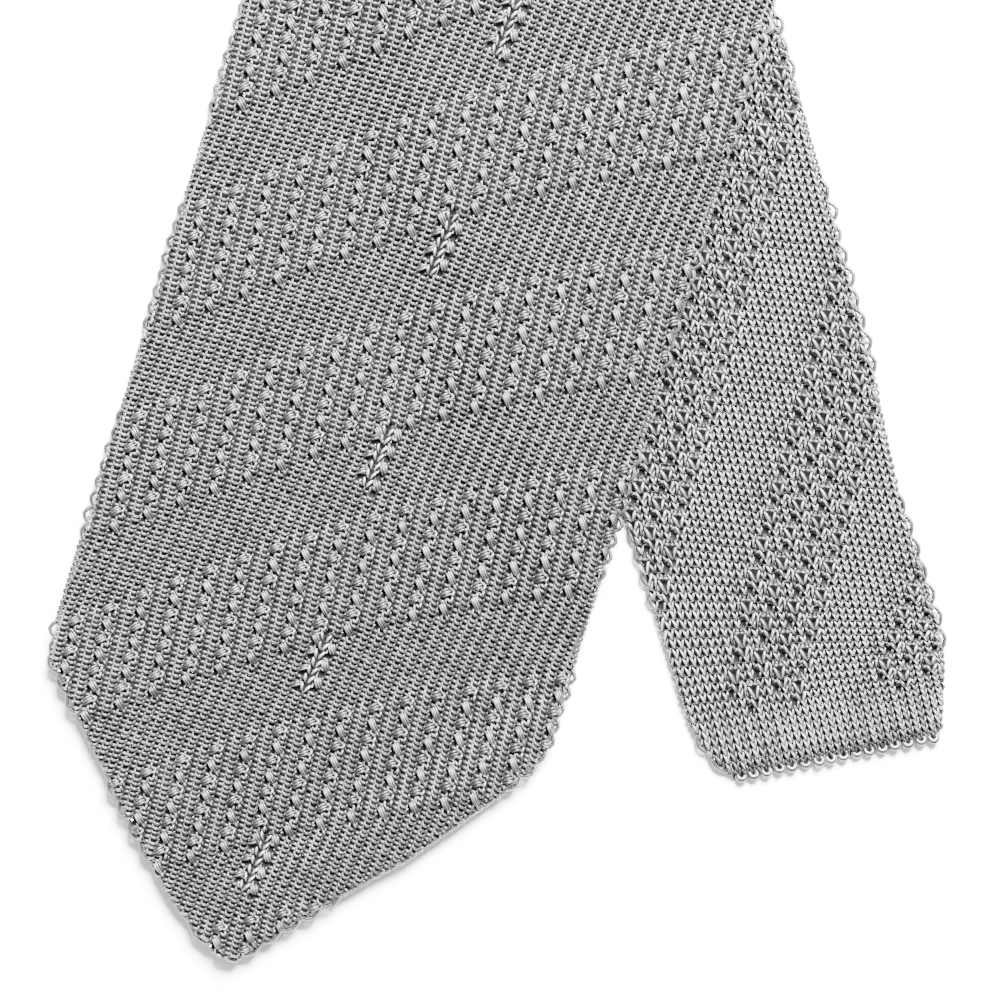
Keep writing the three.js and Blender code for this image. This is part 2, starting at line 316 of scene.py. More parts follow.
def closed_cloth(name, under, over, chart, covered=0):
    """A closed sheet from two grids of places, its upper side painted dark as shade in the rows that yarn
    covers.
    """
    rows, columns = under.shape[:2]
    vertices = Plan.in_frame(np.stack([under, over], axis=2).reshape(-1, 3))
    uv = np.repeat(chart.reshape(-1, 2), 2, axis=0)
    index = np.arange(rows * columns * 2).reshape(rows, columns, 2)
    low, high = index[:, :, 0], index[:, :, 1]

    def quads(a, b, c, d):
        return np.stack([a, b, c, d], axis=-1).reshape(-1, 4)

    faces = np.concatenate([
        quads(high[:-1, :-1], high[:-1, 1:], high[1:, 1:], high[1:, :-1]),
        quads(low[:-1, :-1], low[1:, :-1], low[1:, 1:], low[:-1, 1:]),
        quads(low[:-1, 0], high[:-1, 0], high[1:, 0], low[1:, 0]),
        quads(low[:-1, -1], low[1:, -1], high[1:, -1], high[:-1, -1]),
        quads(low[0, :-1], low[0, 1:], high[0, 1:], high[0, :-1]),
        quads(low[-1, :-1], high[-1, :-1], high[-1, 1:], low[-1, 1:]),
    ])
    cloth = body_mesh(name, vertices, faces, uv)
    cloth.data.materials.append(KNIT)
    cloth.data.materials.append(PAINTED_SHADE_CORE)
    # The covered rows take the near-black finish, as painted shade between the yarns
    dark = np.zeros(len(faces), dtype=np.int32)
    dark[: covered * (columns - 1)] = 1
    cloth.data.polygons.foreach_set("material_index", dark)
    return cloth


class Strands:
    """Yarn paths gathered for one piece, each a run of places with a thickness and a tone."""

    def __init__(self):
        self.places = []
        self.radii = []
        self.tones = []
        self.edges = []
        self.count = 0

    def add(self, places, radius, tone):
        count = len(places)
        if count < 2:
            return
        radius = np.broadcast_to(radius, count)
        height = np.maximum(places[:, 2], radius)  # so that no yarn sinks into what the tie lies on
        self.places.append(np.column_stack([places[:, :2], height]))
        self.radii.append(radius)
        self.tones.append(np.broadcast_to(tone, count))
        first = self.count + np.arange(count - 1)
        self.edges.append(np.stack([first, first + 1], axis=1))
        self.count += count

    def add_visible(self, places, radius, tone, shown):
        """Adds the runs of a path where shown is true."""
        changes = np.flatnonzero(np.diff(shown.astype(int)))
        for part in np.split(np.arange(len(places)), changes + 1):
            if shown[part[0]]:
                self.add(places[part], radius[part], tone[part])


def sweep_tree():
    """Sweeps a round yarn along the edges of a mesh, as thick as its `radius` attribute says.

    The attribute stored here is 1 along the top of the yarn and -1 along its underside; the yarn's finish
    uses it to paint light along the top and shade down the sides.
    """
    tree = bpy.data.node_groups.new("sweep_yarn", "GeometryNodeTree")
    face = tree.interface
    face.new_socket("Paths", in_out="INPUT", socket_type="NodeSocketGeometry")
    face.new_socket("Sides", in_out="INPUT", socket_type="NodeSocketInt")
    face.new_socket("Yarn", in_out="INPUT", socket_type="NodeSocketMaterial")
    face.new_socket("Knit", in_out="OUTPUT", socket_type="NodeSocketGeometry")
    nodes, link = tree.nodes, tree.links.new
    start = nodes.new("NodeGroupInput")
    end = nodes.new("NodeGroupOutput")
    curves = nodes.new("GeometryNodeMeshToCurve")
    upright = nodes.new("GeometryNodeSetCurveNormal")
    upright.mode = "Z_UP"
    circle = nodes.new("GeometryNodeCurvePrimitiveCircle")
    circle.inputs["Radius"].default_value = 1.0
    radius = nodes.new("GeometryNodeInputNamedAttribute")
    radius.data_type = "FLOAT"
    radius.inputs["Name"].default_value = "radius"
    sweep = nodes.new("GeometryNodeCurveToMesh")
    sweep.inputs["Fill Caps"].default_value = True
    across = nodes.new("GeometryNodeInputPosition")
    parts = nodes.new("ShaderNodeSeparateXYZ")
    # Stores where each place lies round the yarn, so that the finish can paint the top lighter and the
    # sides darker
    painted_shade_crown = nodes.new("GeometryNodeStoreNamedAttribute")
    painted_shade_crown.data_type = "FLOAT"
    painted_shade_crown.inputs["Name"].default_value = "painted_shade_crown"
    smooth = nodes.new("GeometryNodeSetShadeSmooth")
    realize = nodes.new("GeometryNodeRealizeInstances")
    dress = nodes.new("GeometryNodeSetMaterial")
    link(start.outputs["Paths"], curves.inputs["Mesh"])
    link(curves.outputs["Curve"], upright.inputs["Curve"])
    link(start.outputs["Sides"], circle.inputs["Resolution"])
    link(upright.outputs["Curve"], sweep.inputs["Curve"])
    link(circle.outputs["Curve"], painted_shade_crown.inputs["Geometry"])
    link(across.outputs["Position"], parts.inputs["Vector"])
    link(parts.outputs["X"], painted_shade_crown.inputs["Value"])
    link(painted_shade_crown.outputs["Geometry"], sweep.inputs["Profile Curve"])
    link(radius.outputs["Attribute"], sweep.inputs["Scale"])
    link(sweep.outputs["Mesh"], smooth.inputs["Geometry"])
    link(smooth.outputs["Geometry"], realize.inputs["Geometry"])
    link(realize.outputs["Geometry"], dress.inputs["Geometry"])
    link(start.outputs["Yarn"], dress.inputs["Material"])
    link(dress.outputs["Geometry"], end.inputs["Knit"])
    return tree


SWEEP = sweep_tree()


def knit_piece(name, strands, finish, sides=4):
    """Sweeps the gathered yarn paths and keeps the result as a plain mesh."""
    places = Plan.in_frame(np.concatenate(strands.places))
    paths = bpy.data.meshes.new(name + "_paths")
    paths.vertices.add(len(places))
    paths.vertices.foreach_set("co", places.astype(np.float32).ravel())
    edges = np.concatenate(strands.edges)
    paths.edges.add(len(edges))
    paths.edges.foreach_set("vertices", edges.astype(np.int32).ravel())
    for label, values in (("radius", strands.radii), ("tone", strands.tones)):
        scale = METRES if label == "radius" else 1.0
        layer = paths.attributes.new(label, "FLOAT", "POINT")
        layer.data.foreach_set("value", (np.concatenate(values) * scale).astype(np.float32))
    paths.update()
    carrier = bpy.data.objects.new(name + "_paths", paths)
    bpy.context.collection.objects.link(carrier)
    modifier = carrier.modifiers.new("sweep", "NODES")
    modifier.node_group = SWEEP
    wanted = {"Sides": sides, "Yarn": finish}
    for item in SWEEP.interface.items_tree:
        if item.in_out == "INPUT" and item.name in wanted:
            modifier[item.identifier] = wanted[item.name]
    evaluated = carrier.evaluated_get(bpy.context.evaluated_depsgraph_get())
    mesh = bpy.data.meshes.new_from_object(evaluated)
    mesh.name = name
    bpy.data.objects.remove(carrier)
    bpy.data.meshes.remove(paths)
    piece = bpy.data.objects.new(name, mesh)
    bpy.context.collection.objects.link(piece)
    return piece


class Value:
    """One output of a finish's nodes, so that shader maths reads as plain expressions."""

    def __init__(self, finish, socket):
        self.finish = finish
        self.socket = socket

    def _maths(self, operation, *terms):
        node = self.finish.node("ShaderNodeMath", {"operation": operation})
        for slot, term in zip(node.inputs, terms):
            self.finish.feed(slot, term)
        return Value(self.finish, node.outputs[0])

    def __add__(self, other):
        return self._maths("ADD", self, other)

    def __sub__(self, other):
        return self._maths("SUBTRACT", self, other)

    def __rsub__(self, other):
        return self._maths("SUBTRACT", other, self)

    def __mul__(self, other):
        return self._maths("MULTIPLY", self, other)

    def __truediv__(self, other):
        return self._maths("DIVIDE", self, other)

    __radd__ = __add__
    __rmul__ = __mul__

    def wave(self):
        return self._maths("COSINE", self)

    def size(self):
        return self._maths("ABSOLUTE", self)

    def part(self):
        return self._maths("FRACT", self)

    def below(self, limit):
        return self._maths("LESS_THAN", self, limit)

    def limited(self):
        return self._maths("MINIMUM", self._maths("MAXIMUM", self, 0.0), 1.0)


class Finish:
    """One material, with the constants set on the shader's own sockets."""

    def __init__(self, name, **constants):
        self.material = bpy.data.materials.new(name)
        self.material.use_nodes = True
        self.nodes = self.material.node_tree.nodes
        self.shader = self.nodes["Principled BSDF"]
        for socket, value in constants.items():
            self.shader.inputs[socket.replace("_", " ")].default_value = value

    def feed(self, slot, term):
        if isinstance(term, Value):
            self.material.node_tree.links.new(term.socket, slot)
        else:
            slot.default_value = term

    def node(self, kind, settings=None, **sockets):
        node = self.nodes.new(kind)
        for name, value in (settings or {}).items():
            setattr(node, name, value)
        for name, term in sockets.items():
            self.feed(node.inputs[name.replace("_", " ")], term)
        return node

    def output(self, node, name):
        return Value(self, node.outputs[name])

    def attribute(self, name):
        return self.output(self.node("ShaderNodeAttribute", {"attribute_name": name}), "Fac")

    def noise(self, scale, detail=2.0):
        place = self.output(self.node("ShaderNodeTexCoord"), "Object")
        node = self.node("ShaderNodeTexNoise", Vector=place, Scale=scale, Detail=detail)
        return self.output(node, "Fac")

    def chart(self):
        """Wale and row, from the cloth's own map."""
        place = self.node("ShaderNodeUVMap", {"uv_map": "stitches"})
        parts = self.node("ShaderNodeSeparateXYZ", Vector=self.output(place, "UV"))
        return self.output(parts, "X"), self.output(parts, "Y")

    def blend(self, share, low, high):
        node = self.node("ShaderNodeMix", {"data_type": "RGBA"})
        self.feed(node.inputs[0], share)
        self.feed(node.inputs[6], low)
        self.feed(node.inputs[7], high)
        return Value(self, node.outputs[2])

    def surface(self, **terms):
        for name, term in terms.items():
            self.feed(self.shader.inputs[name.replace("_", " ")], term)
        return self.material


def silk(name, darkest, lightest):
    """Silk yarn: a soft sheen, its tone changing from stitch to stitch and along the yarn, with light
    painted along the top of each yarn and shade down its sides.
    """
    finish = Finish(name, Specular_IOR_Level=1.0, Metallic=0.35)
    tone = finish.attribute("tone")
    painted_shade_crown = finish.attribute("painted_shade_crown")
    mottle = finish.noise(900.0) - 0.5
    # Painted light and shade: lighter along the yarn's top, darker down its sides, and the tone attribute
    # brings the shade painted along each course
    share = (tone * 0.9 + painted_shade_crown * 0.9 - 0.5 + mottle * 0.5).limited()
    colour = finish.blend(share, darkest, lightest)
    bump = finish.node("ShaderNodeBump", Height=finish.noise(5200.0), Strength=0.5, Distance=0.00008)
    return finish.surface(
        Base_Color=colour,
        Roughness=mottle * 0.25 + 0.38,
        Normal=finish.output(bump, "Normal"),
    )


def shade_backing(name, colour):
    """Painted shade: the inside of the knit, coloured near black to stand for the shadow seen between the
    yarns.
    """
    finish = Finish(name, Roughness=0.9, Specular_IOR_Level=0.1)
    share = finish.noise(700.0)
    return finish.surface(Base_Color=finish.blend(share, colour, tuple(0.6 * c for c in colour)))


def knit(name, darkest, lightest):
    """Whole cloth: upright V stitches, and long ones in diagonal bands, painted darker in the hollows of
    its bump as shade.
    """
    finish = Finish(name, Specular_IOR_Level=0.15, Metallic=0.2)
    wale, row = finish.chart()
    beside = (wale.part() - 0.5).size()
    legs = ((row + beside * 0.9) * (2 * math.pi)).wave()
    furrow = (wale * (4 * math.pi)).wave() * -0.5
    place = ((wale * BAND_CLIMB - row) / BAND_REPEAT).part()
    bubbles = (wale * math.pi).wave() * (row * (math.pi / BUBBLE_ROWS)).wave()
    banded = place.below(BAND_ROWS / BAND_REPEAT)
    height = legs * 0.5 + furrow + bubbles * banded * 0.7
    mottle = finish.noise(900.0) - 0.5
    # Painted shade: the colour follows the bump's height, darker in its hollows
    share = (height * 0.3 + 0.4 + mottle * 0.5).limited()
    bump = finish.node("ShaderNodeBump", Height=height, Strength=1.0, Distance=0.0003)
    return finish.surface(
        Base_Color=finish.blend(share, darkest, lightest),
        Roughness=mottle * 0.25 + 0.5,
        Normal=finish.output(bump, "Normal"),
    )


# Darkest and lightest colours of the yarn and the whole cloth; painted light and shade, with each
# surface's own tone and mottle, move it between them
SILK_DARK = (0.008, 0.008, 0.0077, 1.0)
SILK_LIGHT = (0.32, 0.32, 0.302, 1.0)
CLOTH_DARK = (0.002, 0.002, 0.0019, 1.0)
CLOTH_LIGHT = (0.055, 0.055, 0.0525, 1.0)
YARN = silk("grey_silk_yarn", SILK_DARK, SILK_LIGHT)
# Painted shade: a near-black finish for the cloth beneath the yarn, standing for the shadow between the
# yarns
PAINTED_SHADE_CORE = shade_backing("painted_shade_core", (0.007, 0.007, 0.007, 1.0))
KNIT = knit("grey_silk_knit", CLOTH_DARK, CLOTH_LIGHT)

# Where the yarn itself is modelled, up from the tip and from the tail's end
KNITTED_REACH = 182.0
TAIL_KNITTED = 150.0
TAIL_ROW_PITCH = 1.33
HEM_LEAST = 1.2
LOOP_STEPS = 8
LOOP_SWING = 0.6
LOOP_RISE = 0.6  # rows that a loop's head stands above its row
LOOP_FLATNESS = 0.15  # how much flatter than a wave a loop's head and foot are
LOOP_SKEW = 0.02
LEG_ROLL = 0.16  # how much higher a loop's right leg lies than its left one
YARN_RADIUS = 0.3
YARN_MIDDLE = 1.42
YARN_WAVE = 0.29
EDGE_DROP = 0.9
EDGE_CURL = 1.1
EDGE_BARE = 0.1  # how near the outline the courses of yarn end
EDGE_TOOTH = 0.38  # how far the small turns at the edges stand out from where they are rooted
EDGE_BUBBLE = 0.88
EDGE_ROOT = 0.62  # how far inside the outline they are rooted
EDGE_HEIGHT = 1.0
EDGE_TOOTH_RADIUS = 0.26
EDGE_BUBBLE_RADIUS = 0.36
EDGE_TURN_PITCH = 0.95
TAIL_TURN_PITCH = 1.25
FIRST_EDGE_TURN = 1.5

# Tones of the yarn, from 0 for dark to 1 for light
PURL_TONE = 0.63
TAIL_TONE = 0.34
# The edge turns' tone is set low as painted shade, standing for the dark gaps between stitches that they
# lack
EDGE_TONE = 0.16
CAST_OFF_TONE = 0.08
PAD_SHADE = 0.25  # how much darker the yarn beneath a pattern is
PAD_SINK = 0.38  # how much lower it lies
TAIL_PAD_SINK = 0.3

# How much the stitches stray from the chart: one standard deviation
STRAY_ROW = 0.07
STRAY_HEIGHT = 0.03
TAIL_STRAY_HEIGHT = 0.04
STRAY_THICKNESS = 0.05
STRAY_TONE = 0.14
TAIL_STRAY_TONE = 0.12

# The tail's reverse side
TAIL_WALE_PITCH = 1.235
TAIL_MIDDLE_WALE = 18.5
TAIL_FIRST_WALE = -3
TAIL_LAST_WALE = 41
TAIL_DRIFT = 0.0316  # how far a wale moves to the right for each millimetre upwards
TAIL_ROW_SLOPE = 0.42  # how much a row falls to the right, away from the end
TAIL_SLOPE_LENGTH = 40.0
TAIL_BAND_TOP = 3.5
TAIL_BAND_SOFT = 2.0  # rows over which a band rises at its edges
TAIL_BAND_RISE = 0.25
TAIL_BUBBLE_TOP = -3.75
TAIL_PLAIN_ROWS = 9
TAIL_ROWS = 124
TAIL_SWING = 1.9
TAIL_RISE = 0.68
TAIL_END_RISE = 0.84  # in the rows next to the cast-off edge
TAIL_YARN_RADIUS = 0.24
TAIL_MIDDLE = 1.3
TAIL_WAVE = 0.38
TAIL_TUCK = 0.3  # how much lower a loop's head lies than its foot
UNDER_BLADE = 7.0  # how far the tail's yarn goes on beneath the blade
CAST_OFF_PITCH = 2.2
CAST_OFF_REACH = 0.62
CAST_OFF_ROOT = 0.7
CAST_OFF_RADIUS = 0.52
CAST_OFF_HEIGHT = 1.0

EYELET_WALE = 18.8
EYELET_TOP = 0.3  # rows above a plain band's upper edge
EYELET_ROWS = 1.72
EYELETS = 7
FIRST_ROW = -30
LAST_ROW = 190


def strand(wale, row, to_wale, to_row, radius, tone=0.62, lift=0.25, bow=0.0):
    """One strand of a pattern, in wales and rows from its site."""
    return {
        "wale": wale, "row": row, "to_wale": to_wale, "to_row": to_row,
        "radius": radius, "tone": tone, "lift": lift, "bow": bow,
    }


def mark(wale, row, wide, tall):
    """An oval place beside a site: its middle and half sizes, in wales and rows."""
    return {"wale": wale, "row": row, "wide": wide, "tall": tall}


STRAND_ARCH = 0.24  # how much higher a strand's middle lies than its ends
STRAND_END = 0.62  # a strand's thickness at its ends, as a share of its middle's

# A bubble on the tail: a bar, two long V shapes below it and a leaning loop to the left
TAIL_BUBBLE = (
    strand(-0.8, 0.56, -0.12, 0.68, 0.33, 0.74, 0.36),
    strand(-0.14, 0.66, 0.6, 0.6, 0.3, 0.66, 0.36),
    strand(-0.78, 0.3, -0.19, -1.1, 0.35, 0.8, 0.38),
    strand(0.6, 0.35, 0.05, -1.0, 0.33, 0.7, 0.36),
    strand(-0.74, -1.1, -0.3, -2.2, 0.31, 0.7, 0.3),
    strand(0.54, -1.05, -0.06, -2.3, 0.32, 0.74, 0.3),
    strand(-1.04, 0.6, -1.4, -0.71, 0.26, 0.54),
    strand(-1.42, -1.5, -0.7, -1.45, 0.31, 0.6, bow=0.22),
)
TAIL_HOLES = (mark(-0.07, 0.02, 0.38, 0.54), mark(-0.09, -1.4, 0.29, 0.5), mark(-1.08, -2.1, 0.25, 0.36))
TAIL_PADS = (mark(-0.3, -0.8, 1.1, 1.7),)

# The two leaves of a bubble column on the blade, one rising and one falling to the right
LEAF_DOWN = (
    strand(-0.36, 0.35, 0.12, -0.98, 0.25, 0.66, 0.28),
    strand(-0.27, 0.74, 0.25, -0.74, 0.28, 0.78, 0.4),
    strand(-0.13, 1.02, 0.36, -0.34, 0.25, 0.7, 0.3),
    strand(0.28, -0.82, 0.56, -1.45, 0.27, 0.62, 0.2),
)
LEAF_UP = (
    strand(-0.14, -0.88, 0.35, 0.32, 0.25, 0.5, 0.24),
    strand(-0.27, -0.6, 0.26, 0.68, 0.28, 0.58, 0.34),
    strand(-0.37, -0.28, 0.12, 0.96, 0.25, 0.52, 0.24),
    strand(0.56, 1.05, 0.52, -0.15, 0.27, 0.7, 0.24),
    strand(0.54, -0.05, 0.56, -1.2, 0.27, 0.64, 0.24),
)
LEAF_DOWN_HOLES = (mark(-0.28, -0.85, 0.11, 0.3),)
LEAF_UP_HOLES = (mark(0.28, -0.75, 0.11, 0.3),)
LEAF_PADS = (mark(0.0, 0.0, 0.55, 1.5),)

# The openwork line down the blade's middle
EYELET_LEGS = (
    strand(-0.33, 0.82, -0.12, -0.66, 0.34, 0.86, 0.28),
    strand(0.35, 0.82, 0.13, -0.66, 0.34, 0.78, 0.28),
)
EYELET_LEAF = (
    strand(0.4, 0.75, 0.84, -0.75, 0.27, 0.66, 0.28),
    strand(0.54, 1.05, 1.02, -0.5, 0.29, 0.76, 0.34),
    strand(0.74, 1.2, 1.14, -0.2, 0.26, 0.66, 0.26),
)
EYELET_SLIP = (
    strand(-1.0, -0.75, -0.36, 0.45, 0.28, 0.62, 0.2),
    strand(-1.0, -0.2, -0.5, 0.8, 0.26, 0.54, 0.16),
)
EYELET_HOLES = (mark(0.0, 0.75, 0.2, 0.5),)
EYELET_RIGHT_HOLES = (mark(0.68, -1.5, 0.24, 0.6),)
EYELET_LEFT_HOLES = (mark(-0.62, -0.85, 0.24, 0.6),)
EYELET_PADS = (mark(0.0, 0.0, 0.6, 1.2),)


def edge_distance(across, from_tip):
    """How far inside the blade's outline a place is."""
    left, right = blade_widths(from_tip)
    slant = np.where(from_tip < POINT_LENGTH * 0.8, 0.72, 1.0)
    return np.minimum(np.minimum(across + left, right - across) * slant, from_tip)


def blade_lift(across, from_tip, wale, row):
    """x, y and the cloth's underside for a place on the blade."""
    x, y = BLADE_LEG.place(from_tip - BLADE_LENGTH, across)
    return x, y, blade_underside(x, y, across, from_tip) + BAND_RISE * band_share(wale, row)


def purl_course(strands, row, chance):
    """One course of purl stitches across the blade."""
    last = math.ceil(EDGE_WALE + WALES)
    turn = np.arange(last * LOOP_STEPS + 1) * 2 * math.pi / LOOP_STEPS
    swing = LOOP_SWING * np.sin(2 * turn) / (2 * math.pi)
    wale = turn / (2 * math.pi) + swing
    loop = np.cos(turn) - LOOP_FLATNESS * np.cos(3 * turn)
    stray = chance.normal(0.0, 1.0, (4, 2 * last + 1))
    knots = np.arange(2 * last + 1) / 2
    here = turn / (2 * math.pi)
    shift, lift, thick, tone = (np.interp(here, knots, values) for values in stray)
    rows = np.full_like(wale, float(row)) + LOOP_RISE * loop + STRAY_ROW * shift
    wale = wale + LOOP_SKEW * loop
    across, from_tip = blade_stitch(wale, rows)
    inside = edge_distance(across, from_tip)
    x, y, under = blade_lift(across, from_tip, wale, rows)
    right_leg = np.sin(turn)
    height = under + YARN_MIDDLE + YARN_WAVE * np.cos(2 * turn) + LEG_ROLL * right_leg
    height += STRAY_HEIGHT * lift - EDGE_DROP * ease(1 - inside / EDGE_CURL)
    depths = [near_any(wale, rows, kind["sites"], kind["holes"]) for kind in BLADE_PATTERNS]
    hollow = np.max(depths, axis=0)
    leaves = np.concatenate([BLADE_LEAVES_UP, BLADE_LEAVES_DOWN])
    beneath = ease(2 * near_any(wale, rows, leaves, LEAF_PADS))
    beneath = np.maximum(beneath, ease(2 * near_any(wale, rows, BLADE_EYELETS, EYELET_PADS)))
    height -= PAD_SINK * beneath
    places = np.stack([x, y, height], axis=1)
    corner = np.abs(np.sin(2 * turn))
    radius = YARN_RADIUS * (1 + STRAY_THICKNESS * thick + 0.06 * right_leg - 0.1 * corner)
    # Painted light and shade: the right leg is lighter as a painted highlight; the corners where the yarn
    # passes under, and the yarn beneath a pattern, are darker as painted shade
    shade = PURL_TONE + STRAY_TONE * tone + 0.1 * right_leg - 0.26 * corner - PAD_SHADE * beneath
    shown = (inside > EDGE_BARE) & (from_tip < KNITTED_REACH) & (hollow <= 0.0)
    strands.add_visible(places, radius, shade, shown)


def blade_yarn(first, last, seed):
    strands = Strands()
    chance = np.random.default_rng(seed)
    for row in range(first, last):
        purl_course(strands, row, chance)
    return strands


def near_any(wale, row, sites, marks):
    """How deep a place lies inside any of the oval marks beside the sites: 1 at a mark's middle."""
    depth = np.zeros_like(wale)
    near = sites[(sites[:, 1] > row.min() - 5) & (sites[:, 1] < row.max() + 5)]
    if len(near) == 0:
        return depth
    for mark in marks:
        out = (wale[:, None] - near[None, :, 0] - mark["wale"]) / mark["wide"]
        up = (row[:, None] - near[None, :, 1] - mark["row"]) / mark["tall"]
        depth = np.maximum(depth, 1.0 - np.sqrt(out * out + up * up).min(axis=1))
    return depth


def pattern_yarn(strands, sites, shapes, spot, chance):
    """The strands of one pattern, drawn beside every one of its sites."""
    share = np.linspace(0.0, 1.0, 5)
    arch = np.sin(math.pi * share)
    for wale, row in sites:
        nudge = chance.normal(0.0, 0.03, 2)
        bright = 0.07 * chance.normal()
        for shape in shapes:
            wales = wale + nudge[0] + mix(shape["wale"], shape["to_wale"], share)
            rows = row + nudge[1] * 2 + mix(shape["row"], shape["to_row"], share) + shape["bow"] * arch
            x, y, base, shown = spot(wales, rows)
            height = base + shape["lift"] + STRAND_ARCH * arch
            radius = shape["radius"] * mix(STRAND_END, 1.0, arch) * (1 + STRAY_THICKNESS * chance.normal())
            tone = np.full(5, shape["tone"] + bright + 0.05 * chance.normal())
            strands.add_visible(np.stack([x, y, height], axis=1), radius, tone, shown)


def blade_spot(wale, row):
    across, from_tip = blade_stitch(wale, row)
    x, y, under = blade_lift(across, from_tip, wale, row)
    inside = edge_distance(across, from_tip)
    drop = EDGE_DROP * ease(1 - inside / EDGE_CURL)
    return x, y, under + YARN_MIDDLE - drop, (inside > 0.15) & (from_tip < KNITTED_REACH)


def blade_sites(name):
    """Wale and row of every place on the blade where one of its patterns stands."""
    found = []
    if name == "eyelets":
        for band in range(-1, 5):
            top = BAND_REPEAT * band - 1 + EYELET_TOP
            found += [(EYELET_WALE, top - EYELET_ROWS * step) for step in range(EYELETS)]
    else:
        first = 0 if name == "leaves_up" else 1
        for wale in range(0, math.ceil(WALES) + 1, BUBBLE_WALES):
            top = BUBBLE_TOP + BAND_CLIMB * wale
            shift = 0.09 if first == 0 else 0.28
            for band in range(-2, 6):
                for step in range(first, BUBBLES, 2):
                    found.append((wale + shift, top + BAND_REPEAT * band - BUBBLE_ROWS * step))
    return np.array([site for site in found if FIRST_ROW < site[1] < LAST_ROW], dtype=float)


def tail_band_place(wale, row):
    return np.mod(TAIL_BAND_TOP + BAND_CLIMB * wale - row, BAND_REPEAT)


def tail_band_share(wale, row):
    """1 on a band of bubble stitch, 0 between bands."""
    place = tail_band_place(wale, row)
    return ease(place / TAIL_BAND_SOFT) * ease((BAND_ROWS - place) / TAIL_BAND_SOFT)


def tail_stitch(wale, row):
    """Across and from_end for a place in the tail's chart."""
    from_end = TAIL_ROW_PITCH * row
    across = TAIL_WALE_PITCH * (wale - TAIL_MIDDLE_WALE) + TAIL_DRIFT * from_end
    slope = TAIL_ROW_SLOPE * ease(from_end / TAIL_SLOPE_LENGTH)
    return across, from_end - slope * across


def tail_spot(wale, row):
    across, from_end = tail_stitch(wale, row)
    left, right = tail_widths(from_end)
    inside = np.minimum(np.minimum(across + left, right - across), from_end)
    x, y = TAIL_LEG.place(from_end - TAIL_LENGTH, across, tail_turn(from_end))
    rise = TAIL_BAND_RISE * tail_band_share(wale, row)
    drop = EDGE_DROP * ease(1 - inside / EDGE_CURL)
    shown = (inside > EDGE_BARE) & (under_blade(x, y) < UNDER_BLADE) & (from_end < TAIL_KNITTED)
    return x, y, TAIL_MIDDLE + rise - drop, shown


def tail_sites():
    found = []
    for wale in range(-6, 44, BUBBLE_WALES):
        for band in range(-2, 4):
            for step in range(BUBBLES // 2):
                row = TAIL_BUBBLE_TOP + BAND_CLIMB * wale + band * BAND_REPEAT - 2 * BUBBLE_ROWS * step
                if TAIL_PLAIN_ROWS < row < TAIL_ROWS:
                    found.append((wale, row))
    return np.array(found, dtype=float)


def under_blade(x, y):
    """How far beneath the blade's edge a place on the tail is."""
    lean = BLADE_LEG.lean
    along = x * math.sin(lean) + y * math.cos(lean)
    across = x * math.cos(lean) - y * math.sin(lean)
    left, right = blade_widths(np.maximum(BLADE_LENGTH + along, 0.0))
    inside = np.minimum(across + left, right - across)
    return np.where(BLADE_LENGTH + along < 0, -99.0, inside)


BLADE_LEAVES_UP = blade_sites("leaves_up")
BLADE_LEAVES_DOWN = blade_sites("leaves_down")
BLADE_EYELETS = blade_sites("eyelets")
BLADE_PATTERNS = (
    {"sites": BLADE_LEAVES_UP, "strands": LEAF_UP, "holes": LEAF_UP_HOLES},
    {"sites": BLADE_LEAVES_DOWN, "strands": LEAF_DOWN, "holes": LEAF_DOWN_HOLES},
    {"sites": BLADE_EYELETS, "strands": EYELET_LEGS, "holes": EYELET_HOLES},
    {"sites": BLADE_EYELETS[0::2], "strands": EYELET_LEAF, "holes": EYELET_RIGHT_HOLES},
    {"sites": BLADE_EYELETS[1::2], "strands": EYELET_SLIP, "holes": EYELET_LEFT_HOLES},
)
TAIL_SITES = tail_sites()


